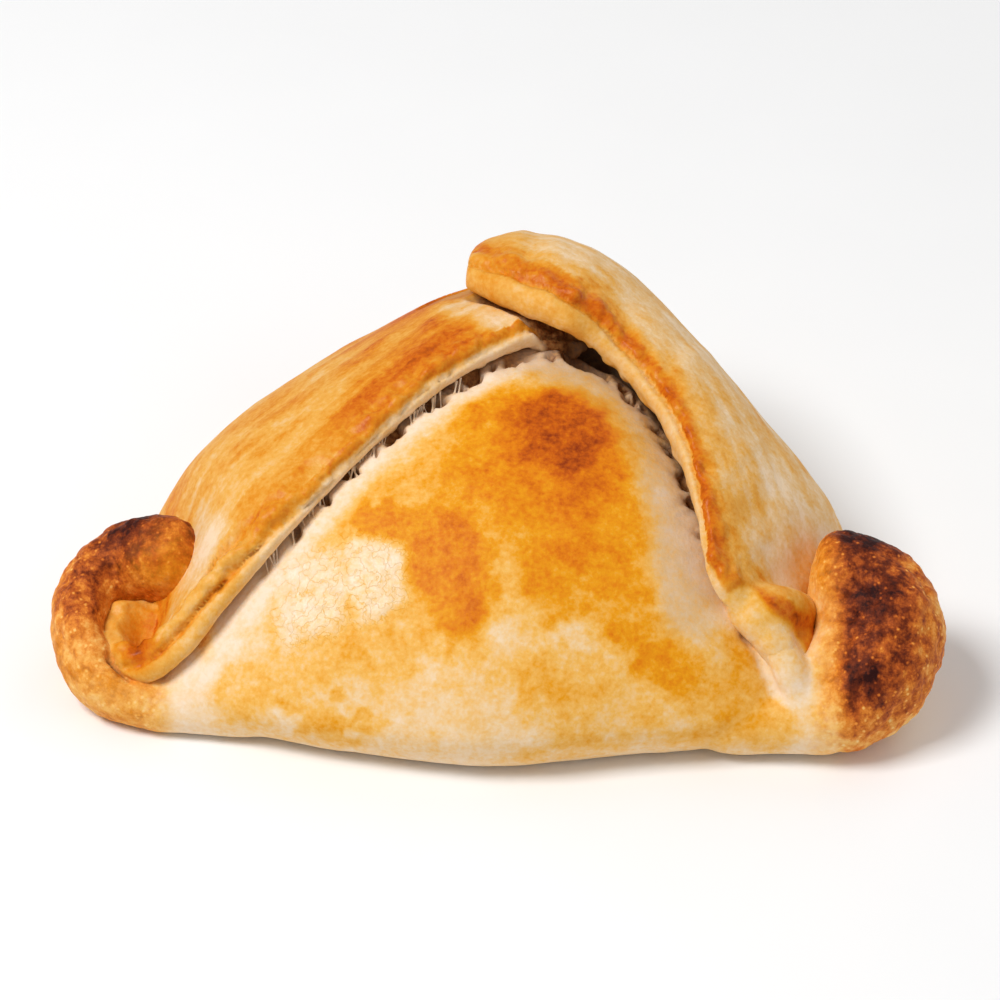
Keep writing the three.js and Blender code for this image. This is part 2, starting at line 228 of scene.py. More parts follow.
# Relief and ragged edges, as layers of bumps: size of the bumps, height, seed.
EAR_BLISTERS = [(4.2, 0.75, 31), (2.3, 0.55, 35), (1.5, 0.25, 43)]
EAR_SWELL = [(9, 0.5, 39)]
PANEL_LUMPS = [(17, 0.35, 51), (7, 0.14, 52), (2.6, 0.05, 53)]
GLARE_LUMPS = [(2.2, 0.16, 55), (1.2, 0.08, 56)]
GLARE_RAGGED_X = [(5, 1.4, 57), (1.6, 0.5, 58)]
GLARE_RAGGED_Y = [(5, 1.4, 59), (1.6, 0.5, 60)]
PATCH_RAGGED_X = [(5, 1.5, 62), (2, 1.1, 63)]
PATCH_RAGGED_Y = [(5, 1.5, 64), (2, 1.1, 65)]
PATCH_SOFTNESS_BUMPS = [(9, 0.12, 66)]
PIT_RAGGED = [(1.3, 0.4, 54)]
CREST_BUMPS = [(2.4, 0.60, 30), (1.4, 0.30, 31)]
FLAP_LUMPS = [(13, 0.4, 40), (5, 0.13, 41)]
LOWER_BUMPS = [(4, 0.18, 50), (1.5, 0.06, 51)]
TORN_EDGE_BUMPS = [(1.6, 0.60, 60), (3.5, 0.25, 61)]
BLISTER_FOOT = 0.6
GLARE_RISE = 0.20
STREAK_RISE = 0.05
CREASE_DEPTH = 0.95
MOTTLE_SIZE = 6
STREAK_SIZE = 1.6

# Values at each point of a piece that drive the crust material, each from 0 to 1.
# torn also carries painted shade in hollows and under the flaps; tan on the panel carries painted shade
SURFACE_FIELDS = ("bake", "ear", "torn", "gloss", "tan", "wrinkle")

# Browning of each zone before its spots, from 0 for raw dough to 1 for burnt.
PANEL_BAKE = 0.16
# pale colour of the glossy patches, a painted highlight
GLARE_HIGHLIGHT_BAKE = 0.15
LEFT_EAR_BAKE = 0.45
RIGHT_EAR_BAKE = 0.47
LEFT_FOOT_BAKE = 0.49
RIGHT_CORNER_BAKE = 0.38
GOLDEN_TIP_BAKE = 0.52
LEFT_TOP_BAKE = 0.52
RIGHT_TOP_BAKE = 0.25
CURL_BAKE = 0.34
# browning of the trough, deepened as painted shade in the recess
TROUGH_BAKE_AND_SHADE = 0.66
CAP_BAKE = 0.46
STRAND_BAKE = 0.05
# share of torn dough in the strands, and of torn dough and painted shade on the hidden sides of the flaps
STRAND_TORN = 0.06
HIDDEN_TORN_AND_SHADE = 0.7
# share of the flaps' own colours on them
FLAP_TAN = 0.8
# x, y, z, radius of the golden tip of the left ear and of the browned trough at the right corner, also
# painted shade
GOLDEN_TIP = (-53.5, -20, 20, 6.5)
TROUGH_SHADE_SPOT = (48.6, -35.6, 16.6, 4.5)
# Spots: x, y, z, radius, change in browning; those marked below as painted shade or painted light stand
# for light, not baking.
# the first left spot is painted shade on the body inside the curl; the other two are browning
LEFT_EAR_SPOTS_AND_SHADE = [(-56.9, -19.9, 12.8, 4, .16), (-64, -16, 21, 8, .16), (-70, -24, 16, 6, .14)]
RIGHT_EAR_SPOTS = [
    (58.2, -21, 24, 5, .60), (60.5, -33, 21, 5.5, .37), (58.5, -43, 16, 4.5, .38), (65, -29, 21, 6, .08),
]
LEFT_TOP_SPOTS = [(-48.5, -18, 23.5, 6, -.34)]
# the last right spot pales the flap beside the right ear as painted light against its shade
RIGHT_TOP_SPOTS_AND_LIGHT = [(41, -18, 31, 8, .16), (28, 9, 45, 12, -.08), (49, -16, 28, 10, -.20)]
RIGHT_TUCK_SPOTS = [(48.5, -32.5, 20, 3.5, .30), (44.5, -31.5, 25, 5, .16)]
# browning in the curl's hollow, spread and darkened as painted shade of the hollow's depth
CURL_HOLLOW_BROWN_AND_SHADE_SPOTS = [
    (-57.6, -31.4, 8.6, 4.2, .62), (-58.2, -32.6, 13, 3.8, .62), (-58.5, -24, 10.8, 5, .31),
]

# Strands of dough across the left seam: where they start out on the panel and end in under the rim.
STRAND_SEED = 7
STRAND_ROWS = (8.2, 11.4)
STRAND_TUFTS = 30
STRAND_STATIONS = 7
STRAND_SIDES = 6
STRAND_THICKNESS = (0.12, 0.34)
STRAND_START = (1.0, 2.2)
STRAND_END = (0.0, 0.4)
STRAND_END_RISE = (1.0, 1.5)
STRAND_SAG = (0, 0.3)
STRAND_PINCH = 0.5
# random shift of a strand and of its end along the seam
STRAND_SHIFT = 0.5
STRAND_SLANT = 0.6
STRAND_ROOT = 0.2
STRAND_DROP_FROM = 12

NOISE_PRIMES = np.array([73856093, 19349663, 83492791])
NOISE_STEP = 2654435761
NOISE_FACTOR = 1274126177
NOISE_LAYERS = 3


def rise(low, high, value):
    """Rises smoothly from 0 at low to 1 at high."""
    share = np.clip((value - low) / (high - low), 0, 1)
    return share * share * (3 - 2 * share)


def scatter(cell, seed):
    """A fixed random value from 0 to 1 for each cell of a lattice."""
    mixed = cell @ NOISE_PRIMES + seed * NOISE_STEP
    mixed = (mixed ^ (mixed >> 13)) * NOISE_FACTOR
    mixed = mixed ^ (mixed >> 16)
    return (mixed & 0xFFFF) / 65535


def noise(points, size, seed):
    """Smooth random values, about -1 to 1, with bumps about size mm across."""
    scaled = points / size
    cell = np.floor(scaled).astype(np.int64)
    part = scaled - cell
    part = part ** 3 * (part * (part * 6 - 15) + 10)
    total = np.zeros(len(points))
    for corner in np.ndindex(2, 2, 2):
        value = 2 * scatter(cell + corner, seed) - 1
        total += value * np.prod(np.where(corner, part, 1 - part), axis=1)
    return total


def blisters(points, size, seed):
    """Rounded bumps about size mm across: 1 on top of each, towards 0 in the creases between."""
    scaled = points / size
    cell = np.floor(scaled).astype(np.int64)
    nearest = np.ones(len(points))
    for offset in np.ndindex(3, 3, 3):
        spot = cell + offset - 1
        middle = spot + np.column_stack([scatter(spot, seed + axis) for axis in range(3)])
        nearest = np.minimum(nearest, np.sum((scaled - middle) ** 2, axis=1))
    return 1 - nearest


def layered_noise(points, size, seed):
    """Noise with finer and weaker layers added."""
    total = np.zeros(len(points))
    for layer in range(NOISE_LAYERS):
        total += noise(points, size / 2 ** layer, seed + layer) / 2 ** layer
    return total


def run(rows, share, closed=False):
    """Smooth run through evenly spaced rows of numbers, at shares from 0 to 1."""
    rows = np.asarray(rows, float)
    if closed:
        padded = np.concatenate([rows[-1:], rows, rows[:2]])
        spans = len(rows)
    else:
        padded = np.concatenate([2 * rows[:1] - rows[1:2], rows, 2 * rows[-1:] - rows[-2:-1]])
        spans = len(rows) - 1
    at = np.asarray(share, float) * spans
    first = np.clip(np.floor(at).astype(int), 0, spans - 1)
    f = (at - first)[:, None]
    p0, p1, p2, p3 = (padded[first + step] for step in range(4))
    return 0.5 * (
        2 * p1 + (p2 - p0) * f + (2 * p0 - 5 * p1 + 4 * p2 - p3) * f ** 2
        + (3 * p1 - p0 - 3 * p2 + p3) * f ** 3
    )


def closed_skin(loops):
    """Points and faces of a skin through the loops, each end shut by a fan."""
    count, size = loops.shape[:2]
    here = np.arange(count * size).reshape(count, size)
    beside = np.roll(here, -1, axis=1)
    quads = np.stack([here[:-1], beside[:-1], beside[1:], here[1:]], axis=-1).reshape(-1, 4)
    first = np.full(size, count * size)
    start = np.stack([beside[0], here[0], first], axis=-1)
    end = np.stack([here[-1], beside[-1], first + 1], axis=-1)
    middles = loops[[0, -1]].mean(axis=1)
    points = np.concatenate([loops.reshape(-1, 3), middles])
    return points, quads.tolist() + start.tolist() + end.tolist()


def dome_loops():
    """Rings of the filled dome, from the base up to just below its peak."""
    row = run(OUTLINE, np.arange(DOME_AROUND) / DOME_AROUND, closed=True)
    spoke = row[:, :2] - PEAK
    length = np.hypot(spoke[:, 0], spoke[:, 1])
    loops = []
    for turn in np.linspace(math.pi / 2, 0, DOME_FOOT, endpoint=False):
        reach = 1 - BASE_INSET * (1 - math.cos(turn)) / length
        height = np.full(DOME_AROUND, WIDEST_Z * (1 - math.sin(turn)))
        loops.append(np.column_stack([PEAK + reach[:, None] * spoke, height]))
    for turn in np.linspace(0, math.pi / 2, DOME_RISE, endpoint=False):
        height = WIDEST_Z + (TOP_Z - WIDEST_Z) * math.sin(turn) ** row[:, 2]
        loops.append(np.column_stack([PEAK + math.cos(turn) * spoke, height]))
    return np.array(loops)


def end_rounding(share, first, last):
    """Scale of each section, so that both ends of a run round off."""
    start = np.clip((first - share) / first, 0, 1)
    end = np.clip((share - 1 + last) / last, 0, 1)
    return np.sqrt(1 - start ** 2) * np.sqrt(1 - end ** 2)


def roll_loops(rows, rounding=ROLL_ROUNDING):
    """Oval sections along a roll of dough."""
    share = np.linspace(0.004, 0.996, ROLL_STATIONS)
    row = run(rows, share)
    middle = row[:, :3]
    along = np.gradient(middle, axis=0)
    along /= np.linalg.norm(along, axis=1, keepdims=True)
    side = np.cross(along, [0.0, 0.0, 1.0])
    side /= np.linalg.norm(side, axis=1, keepdims=True)
    above = np.cross(side, along)
    scale = end_rounding(share, *rounding)
    turn = np.linspace(0, 2 * math.pi, ROLL_POINTS, endpoint=False)
    across = (row[:, 3] * scale)[:, None, None] * np.cos(turn)[None, :, None] * side[:, None]
    upward = (row[:, 4] * scale)[:, None, None] * np.sin(turn)[None, :, None] * above[:, None]
    loops = middle[:, None] + across + upward
    loops[..., 2] = np.maximum(loops[..., 2], 0)
    return loops


def tear_amount(row_number, rows):
    """How far the seam has pulled apart, 0 to 1, along the rows of a flap."""
    low, high = rows
    return rise(low - 0.8, low + 0.5, row_number) * rise(high + 0.6, high - 0.5, row_number)


def flap_sections(seam, share, side, seed):
    """Sections of a flap, and the zone and the share of the zone of each point of a section.

    A point of a section is a complex number: how far in from the rim's foot it lies, and how far up.
    """
    row = run(seam.rows, share)
    foot = row[:, 0:3]
    widest = row[:, 3:6]
    lean, slope = np.exp(1j * np.radians(row[:, 6:8])).T
    hold, fullness, lift, scale = row[:, 8:12].T
    layers = np.clip(row[:, 12], 0, 1)
    place = np.outer(share * RIM_LENGTH, [1, 0, 0])
    torn = tear_amount(share * (len(seam.rows) - 1), seam.tear_rows)
    lift = lift + torn * seam.tear[0] * (1 + bumps(place, LIFT_WAVER, seed))
    scale = scale * (1 + bumps(place, SCALE_WAVER, seed))

    reach = widest - foot
    width = np.hypot(reach[:, 0], reach[:, 1])
    across = reach / width[:, None] * [1, 1, 0]
    lower_roll, upper_roll = RIM_ROLLS[side]
    lower = lower_roll * scale
    upper = lower + (upper_roll - lower_roll) * scale * layers
    lower_at = lower + 1j * (lift + lower)
    lower_turn = LOWER_TURN[0] + LOWER_TURN[1] * layers
    upper_at = lower_at + complex(*LAYER_STEPS[side]) * scale * layers
    upper_start = UPPER_START[0] + UPPER_START[1] * layers
    under = (UNDERSIDE_REACH * scale - 1j * UNDERSIDE_DROP) * lean
    widest_at = width + 1j * reach[:, 2]
    turn_in = np.minimum(SIDE_TURN_IN, 0.4 * width)
    base = 1j * (reach[:, 2] - widest[:, 2])
    inside = np.minimum(0.5 * width, BASE_REACH) + base

    def between(first, second, f):
        return first * (1 - f) + second * f

    def on_roll(middle, radius, degrees):
        return (middle + radius * np.exp(1j * np.radians(degrees))) * lean

    crest = on_roll(upper_at, upper, CREST_TURN)
    pulls = (crest, crest + hold * width * slope, widest_at + 1j * fullness, widest_at)

    def on_top(f):
        weights = ((1 - f) ** 3, 3 * f * (1 - f) ** 2, 3 * f ** 2 * (1 - f), f ** 3)
        return sum(weight * pull for weight, pull in zip(weights, pulls))

    def on_side(f):
        turn = f * math.pi / 2
        return widest_at - turn_in * (1 - math.cos(turn)) - 1j * widest[:, 2] * math.sin(turn)

    curves = {
        "underside": lambda f: between(under, (lower_at - 1j * lower) * lean, f),
        "lower": lambda f: on_roll(lower_at, lower, -90 - f * lower_turn),
        "upper": lambda f: on_roll(upper_at, upper, between(upper_start, CREST_TURN, f)),
        "top": on_top,
        "side": on_side,
        "base": lambda f: between(width - turn_in + base, inside, f),
        "inside": lambda f: between(inside, under, f),
    }
    places = [(zone, part / count) for zone, count in FLAP_POINTS.items() for part in range(count)]
    section = np.stack([curves[zone](part) for zone, part in places], axis=1)
    loops = foot[:, None] + section.real[..., None] * across[:, None]
    loops[..., 2] = np.maximum(loops[..., 2] + section.imag, 0)
    middle = loops.mean(axis=1, keepdims=True)
    loops = middle + (loops - middle) * end_rounding(share, *FLAP_ROUNDING[side])[:, None, None]
    zones, parts = zip(*places)
    return loops, np.array(zones), np.array(parts)


def merged(shells):
    """Points and faces of several shells together."""
    points, faces, offset = [], [], 0
    for shell_points, shell_faces in shells:
        points.append(shell_points)
        faces.extend([[index + offset for index in face] for face in shell_faces])
        offset += len(shell_points)
    return np.concatenate(points), faces


def add_object(name, data):
    """A new object in the scene."""
    thing = bpy.data.objects.new(name, data)
    bpy.context.scene.collection.objects.link(thing)
    return thing


def joined_skin(shells, voxel):
    """Points and four-sided faces of one outer skin round overlapping shells."""
    points, faces = merged(shells)
    mesh = bpy.data.meshes.new("shells")
    mesh.from_pydata(points, [], faces)
    thing = add_object("shells", mesh)
    join = thing.modifiers.new("join", "REMESH")
    join.mode = "VOXEL"
    join.voxel_size = voxel
    solid = thing.evaluated_get(bpy.context.evaluated_depsgraph_get()).to_mesh()
    flat = np.empty(len(solid.vertices) * 3)
    solid.vertices.foreach_get("co", flat)
    corners = np.empty(len(solid.loops), dtype=np.int32)
    solid.loops.foreach_get("vertex_index", corners)
    bpy.data.objects.remove(thing)
    bpy.data.meshes.remove(mesh)
    return flat.reshape(-1, 3), corners.reshape(-1, 4)


def relax(points, quads, strength, where):
    """Moves points towards the middle of their neighbours, as far and as often as the strength says."""
    weight, rounds = strength
    edges = np.concatenate([quads[:, [side, (side + 1) % 4]] for side in range(4)])
    count = np.bincount(edges[:, 0], minlength=len(points))[:, None]
    points = points.copy()
    for _ in range(rounds):
        total = np.column_stack([
            np.bincount(edges[:, 0], weights=points[edges[:, 1], axis], minlength=len(points))
            for axis in range(3)
        ])
        points += weight * where[:, None] * (total / count - points)
    return points


def skin_normals(points, quads):
    """Outward directions at the points of a skin of four-sided faces."""
    face = np.cross(points[quads[:, 2]] - points[quads[:, 0]], points[quads[:, 3]] - points[quads[:, 1]])
    normal = np.column_stack([
        np.bincount(quads.ravel(), weights=np.repeat(face[:, axis], 4), minlength=len(points))
        for axis in range(3)
    ])
    return normal / (np.linalg.norm(normal, axis=1, keepdims=True) + 1e-9)


def displaced(rest, quads, outward):
    """Points of a skin moved out along its normals, with its base kept flat on the floor."""
    points = rest + skin_normals(rest, quads) * outward[:, None]
    points[:, 2] = np.maximum(points[:, 2], 0)
    points[rest[:, 2] < BASE_CATCH, 2] = 0
    return points


def nearest_of(targets, points):
    """Index of the target nearest to each point, and how far off it is."""
    tree = KDTree(len(targets))
    for index, target in enumerate(targets):
        tree.insert(target, index)
    tree.balance()
    found = [tree.find(point) for point in points]
    return np.array([hit[1] for hit in found]), np.array([hit[2] for hit in found])


def gap_to(rolls, points):
    """Distance of each point from the middle line of the nearest of some rolls."""
    lines = np.concatenate([run(roll, np.linspace(0, 1, 60))[:, :3] for roll in rolls])
    return nearest_of(lines, points)[1]


def groove_along(line, width, points):
    """1 in the middle of a groove along a line, falling off to both sides."""
    return np.exp(-(gap_to([line], points) / width) ** 2)


def around(points, x, y, z, radius):
    """1 at a spot, falling off smoothly over a radius."""
    return np.exp(-np.sum((points - np.array([x, y, z])) ** 2, axis=1) / radius ** 2)


def spot_changes(points, rows):
    """Change in browning that each spot makes at each point."""
    return [change * around(points, x, y, z, radius) for x, y, z, radius, change in rows]


def bumps(points, layers, seed=0):
    """Layers of bumps added up."""
    return sum(height * noise(points, size, seed + own_seed) for size, height, own_seed in layers)


class Seam:
    """A rim's foot line and its tear, to measure where points lie under the flap or on the panel."""

    def __init__(self, rows, tear_rows, tear, seed):
        self.rows = rows
        self.tear_rows = tear_rows
        self.tear = tear
        self.seed = seed
        self.row_number = np.linspace(0, len(rows) - 1, 600)
        row = run(rows, self.row_number / (len(rows) - 1))
        self.foot = row[:, :3]
        steps = np.linalg.norm(np.diff(self.foot, axis=0), axis=1)
        self.length = np.concatenate([[0], np.cumsum(steps)])
        reach = row[:, 3:5] - row[:, :2]
        self.across = reach / np.linalg.norm(reach, axis=1, keepdims=True)

    def measure(self, points):
        """Distance in under the flap, distance from the foot line, and row number of each point."""
        nearest, distance = nearest_of(self.foot, points)
        gap = points - self.foot[nearest]
        inward = np.einsum("ij,ij->i", gap[:, :2], self.across[nearest])
        return inward, distance, self.row_number[nearest]

    def webs(self, inward, row_number, width, seed):
        """Torn dough across the seam: above 0 on a web, below 0 in a pit between webs."""
        length = np.interp(row_number, self.row_number, self.length)
        slant = 0.8 * noise(np.outer(length, [1, 0, 0]), 6, seed)
        spread = np.column_stack([length + slant * inward, 0.4 * inward, np.zeros_like(length)])
        return noise(spread, width, seed + 1) + 0.5 * noise(spread, width / 2, seed + 2)


left_seam = Seam(LEFT_FLAP, LEFT_TEAR_ROWS, LEFT_TEAR, seed=71)
right_seam = Seam(RIGHT_FLAP, RIGHT_TEAR_ROWS, RIGHT_TEAR, seed=81)


def tear_holes(points):
    """Sinks the holes torn open at the ridge, and says how deep in a hole each point is."""
    sunk = points.copy()
    inside = np.zeros(len(points))
    for x, y, radius, depth in TORN_HOLES:
        near = rise(1.25 * radius, 0.65 * radius, np.hypot(points[:, 0] - x, points[:, 1] - y))
        sunk[:, 2] -= depth * near * (points[:, 2] > RIDGE_Z)
        inside = np.maximum(inside, near)
    return sunk, inside


def seam_relief(seam, measured, ragged):
    """Rise of the torn dough in the panel along a seam, and its torn colour in pits and under the rim:
    partly painted shade.
    """
    inward, gap, row_number = measured
    _, depth, width, middle = seam.tear
    torn = tear_amount(row_number, seam.tear_rows) * (gap < TEAR_REACH)
    web = seam.webs(inward, row_number, WEB_WIDTH, seam.seed)
    fibre = seam.webs(inward, row_number, FIBRE_WIDTH, seam.seed + 3)
    groove = torn * np.exp(-((inward - middle) / width) ** 2)
    stretched = rise(middle - 4.5, middle - 1.5, inward) * rise(middle + 1, middle, inward)
    outward = groove * WEB_RISE * rise(0.1, 0.45, web) + FIBRE_RISE * torn * stretched * fibre
    outward -= groove * (depth + PIT_DEPTH * rise(0.1, -0.3, web))
    between_webs = rise(middle - 1.5, middle - 0.5, inward + ragged) * rise(0.2, -0.2, web)
    # torn colour under the rim is painted shade where the rim covers the panel
    shade_under_rim = 0.8 * rise(-0.3, 0.8, inward)
    at_edge = 0.5 * rise(middle - 1.3, middle - 0.2, inward)
    return outward, torn * np.maximum.reduce([between_webs, shade_under_rim, at_edge])


def body_skin():
    """Points and faces of the dome, both ears and the small rolls, joined into one skin."""
    shells = [closed_skin(dome_loops())]
    shells += [closed_skin(roll_loops(rows, EAR_ROUNDING)) for rows in (LEFT_EAR, RIGHT_EAR)]
    shells += [closed_skin(roll_loops(rows)) for rows in BODY_ROLLS]
    points, quads = joined_skin(shells, BODY_VOXEL)
    points = relax(points, quads, BODY_RELAX, np.ones(len(points)))
    corner = sum(around(points, *blend) for blend in CORNER_BLENDS)
    return relax(points, quads, CORNER_RELAX, np.clip(corner, 0, 1)), quads


def ear_share(points, tongue, tip):
    """How far each point belongs to an ear rather than to the front panel, 0 to 1."""
    x, _, z = points.T
    right = rise(46, 57, x) * (1 - 0.8 * tongue)
    left = rise(50, 57, -x) * (0.55 + 0.45 * rise(8, 17, z))
    left = np.maximum(left, rise(45, 48, -x) * rise(12, 16, z))
    return np.maximum(right, left * (1 - 0.6 * tip))


def ragged_plan(points, layers_x, layers_y):
    """Places seen from above, shifted by bumps, as complex numbers of x and y."""
    return points[:, 0] + bumps(points, layers_x) + 1j * (points[:, 1] + bumps(points, layers_y))


def glare_share(points):
    """How far each point lies in a glossy wrinkled patch, 0 to 1, which also places the painted highlight.
    """
    plan = ragged_plan(points, GLARE_RAGGED_X, GLARE_RAGGED_Y)
    glare = np.zeros(len(points))
    for x, y, radius_x, radius_y in GLARE_PATCHES:
        off = plan - complex(x, y)
        spread = np.exp(-np.abs(off.real / radius_x) ** 3 - np.abs(off.imag / radius_y) ** 3)
        glare = np.maximum(glare, spread)
    return glare


def body_relief(points, ear, glare):
    """Rise of the blisters on the ears, and of the lumps and wrinkles on the panel."""
    blister = bumps(points, EAR_SWELL)
    for size, height, seed in EAR_BLISTERS:
        blister += height * (blisters(points, size, seed) - BLISTER_FOOT)
    lumps = bumps(points, PANEL_LUMPS) + glare * (GLARE_RISE + bumps(points, GLARE_LUMPS))
    return ear * blister + (1 - ear) * lumps


def panel_bake(points, mottle, glare):
    """Browning of the front panel: ragged baked patches and one painted shadow, pale glossy ones whose
    pale colour is a painted highlight, and a pale foot.
    """
    plan = ragged_plan(points, PATCH_RAGGED_X, PATCH_RAGGED_Y)
    softness = PATCH_SOFTNESS + bumps(points, PATCH_SOFTNESS_BUMPS)
    bake = PANEL_BAKE + 0.05 * mottle
    for x, y, radius_x, radius_y, turn, level in PANEL_PATCHES:
        off = (plan - complex(x, y)) * np.exp(-1j * math.radians(turn))
        spread = np.exp(-(off.real / radius_x) ** 2 - (off.imag / radius_y) ** 2)
        browned = rise(PATCH_EDGE - softness, PATCH_EDGE + softness, spread)
        bake += browned * np.maximum(level + 0.06 * mottle - bake, 0)
    # the glossy patches turn pale: painted highlight
    bake += rise(0.05, 0.75, glare) * (GLARE_HIGHLIGHT_BAKE - bake)
    return bake * (0.45 + 0.55 * rise(1, 9, points[:, 2]))


def ear_bake(points, mottle):
    """Browning of both ears: darkest on top, paler at the foot and inside the right corner, with painted
    shade inside the left curl.
    """
    x, _, z = points.T
    right = RIGHT_EAR_BAKE + 0.10 * mottle + 0.12 * rise(68, 60, x)
    right += sum(spot_changes(points, RIGHT_EAR_SPOTS))
    right -= 0.33 * rise(56, 52.5, x) * rise(25, 21, z)
    right -= 0.28 * rise(11, 5, z)
    left = LEFT_EAR_BAKE + 0.08 * mottle - 0.02 * rise(8, 14, z) + 0.38 * rise(17, 23, z)
    left += sum(spot_changes(points, LEFT_EAR_SPOTS_AND_SHADE))
    return np.where(x > 0, right, left)


def tongue_bake(points, mottle):
    """Browning of the pale tongue, warmer towards its upper end."""
    return 0.10 + 0.17 * rise(11, 22, points[:, 2]) + 0.05 * mottle


def make_body():
    """The filled dome with both ears: points, faces and surface fields."""
    rest, quads = body_skin()
    x, _, z = rest.T
    mottle = layered_noise(rest, MOTTLE_SIZE, seed=61)
    glare = glare_share(rest)
    tongue = rise(*TONGUE_PALE, gap_to([TONGUE_FOOT, RIGHT_WEB], rest))
    tip = around(rest, *GOLDEN_TIP)
    ear = ear_share(rest, tongue, tip)
    panel = 1 - ear

    left = left_seam.measure(rest)
    right = right_seam.measure(rest)
    ragged = bumps(rest, PIT_RAGGED)
    left_rise, left_pit_and_shade = seam_relief(left_seam, left, ragged)
    right_rise, right_pit_and_shade = seam_relief(right_seam, right, ragged)
    slit = groove_along(CURL_SLIT, CURL_SLIT_WIDTH, rest)
    outward = body_relief(rest, ear, glare) + left_rise + right_rise - CURL_SLIT_DEPTH * slit
    outward -= TONGUE_CREASE_DEPTH * groove_along(TONGUE_CREASE, TONGUE_CREASE_WIDTH, rest)
    points, hole = tear_holes(displaced(rest, quads, outward))

    _, left_gap, _ = left
    _, right_gap, right_row = right
    left_pale = rise(7, 3, left_gap)
    # paler dough beside the right seam, which below also takes painted shade
    right_pale_and_shade = rise(11, 6, right_gap + 1.5 * mottle) * rise(2.5, 4, right_row)
    bake = panel_bake(rest, mottle, glare)
    bake *= 1 - np.maximum(0.85 * left_pale, 0.45 * right_pale_and_shade)
    bake += rise(46, 53, x) * (RIGHT_CORNER_BAKE + 0.10 * mottle - bake)
    golden = tip * (GOLDEN_TIP_BAKE + 0.08 * mottle - bake)
    bake += tongue * (tongue_bake(rest, mottle) - bake) + golden
    left_foot = rise(52, 60, -x) * rise(15, 9, z)
    bake += left_foot * (LEFT_FOOT_BAKE + 0.10 * mottle - bake)
    bake = panel * bake + ear * ear_bake(rest, mottle)

    # torn colour in the holes and in the curl's slit is partly painted shade of these hollows
    in_hole = rise(0.25, 0.7, hole)
    in_slit = rise(0.5, 0.9, slit)
    # beside the right seam some torn-dough colour and, through tan, the flaps' duller colours are painted
    # shade
    torn = np.maximum.reduce([left_pit_and_shade, right_pit_and_shade, in_hole, in_slit, 0.25 * right_pale_and_shade * panel])
    gloss = panel * np.maximum(0.15 * rise(0.1, 0.5, bake), rise(0.1, 0.6, glare))
    fields = {"bake": bake, "ear": ear, "torn": torn, "gloss": gloss, "tan": 0.5 * right_pale_and_shade * panel}
    fields["wrinkle"] = rise(0.02, 0.4, glare) * panel
    return points, quads.tolist(), fields


def flap_places(rows, share, sections, rest):
    """What lies where on a flap's skin, by the section point nearest to each of its points."""
    loops, zones, parts = sections
    nearest, _ = nearest_of(loops.reshape(-1, 3), rest)
    station, spot = np.divmod(nearest, loops.shape[1])
    steps = np.linalg.norm(np.diff(loops, axis=1, prepend=loops[:, :1]), axis=2)
    length = np.cumsum(steps, axis=1)
    crest_length = length[:, [np.argmax(zones == "top")]]
    zone = zones[spot]
    part = parts[spot]
    flap = SimpleNamespace(rest=rest, part=part, share=share[station])
    flap.row = share[station] * (len(rows) - 1)
    flap.behind = (length - crest_length).ravel()[nearest]
    flap.layers = np.clip(run(rows, share)[:, -1], 0, 1)[station]
    for name in ("lower", "upper", "top", "side"):
        setattr(flap, name, (zone == name) * 1.0)
    flap.outside = flap.top + flap.side
    flap.hidden = np.isin(zone, ("underside", "inside", "base")) * 1.0
    flap.before_end = rise(0.99, 0.96, flap.share)
    flap.crest = flap.upper + flap.top * rise(0.12, 0.0, part)
    crease = flap.lower * rise(0.78, 1.0, part) + flap.upper * rise(0.28, 0.0, part)
    flap.crease = crease * flap.layers * flap.before_end
    flap.gloss = 0.5 * flap.crest + 0.2
    return flap


def flap_relief(flap, roll_gap, tear_rows, seed):
    """Rise of the lumps, the crest's bumps, the crease and the torn edge on a flap's skin."""
    rest = flap.rest
    part = flap.part
    lumps = bumps(rest, FLAP_LUMPS, seed) + STREAK_RISE * flap.streak
    outward = flap.outside * lumps * rise(0, 0.1, part + flap.side)
    outward += flap.crest * bumps(rest, CREST_BUMPS, seed) * flap.before_end
    outward += flap.lower * bumps(rest, LOWER_BUMPS, seed)
    outward -= CREASE_DEPTH * flap.crease
    outward *= 0.25 + 0.75 * rise(*ROLL_SMOOTH, roll_gap)
    pulled = tear_amount(flap.row, tear_rows) * flap.lower * rise(0.5, 0.2, part)
    return outward + pulled * bumps(rest, TORN_EDGE_BUMPS, seed)


def make_flap(seam, side, seed, rolls=()):
    """Skin of a folded flap with its two-layer rim, and what lies where on it."""
    share = np.linspace(0.0006, 0.9994, FLAP_STATIONS)
    sections = flap_sections(seam, share, side, seed)
    shells = [closed_skin(sections[0])] + [closed_skin(roll_loops(roll)) for roll in rolls]
    rest, quads = joined_skin(shells, FLAP_VOXEL)
    rest = relax(rest, quads, FLAP_RELAX, np.ones(len(rest)))
    roll_gap = gap_to(rolls, rest) if rolls else np.full(len(rest), np.inf)
    rest = relax(rest, quads, ROLL_RELAX, np.exp(-(roll_gap / ROLL_RELAX_REACH) ** 2))

    flap = flap_places(seam.rows, share, sections, rest)
    stretched = np.column_stack([flap.share * 23, flap.top * flap.part * 40, rest[:, 2] * 0.2])
    flap.streak = layered_noise(stretched, STREAK_SIZE, seed + 10)
    flap.mottle = layered_noise(rest, MOTTLE_SIZE, seed + 20)
    points = displaced(rest, quads, flap_relief(flap, roll_gap, seam.tear_rows, seed))
    return points, quads.tolist(), flap


def rim_bake(flap, lower_bake, crest_bake):
    """Browning over a rim: pale lower layer, darker crease, browned upper ridge."""
    start = 0.5 - 0.5 * flap.layers
    ridge = rise(start - 0.15, start + 0.15, flap.part)
    upper_bake = lower_bake + ridge * (crest_bake - lower_bake)
    bake = flap.lower * (lower_bake + 0.06 * flap.mottle)
    bake += flap.upper * (upper_bake + 0.08 * flap.mottle)
    return bake + flap.crease * (0.20 + 0.10 * flap.mottle)


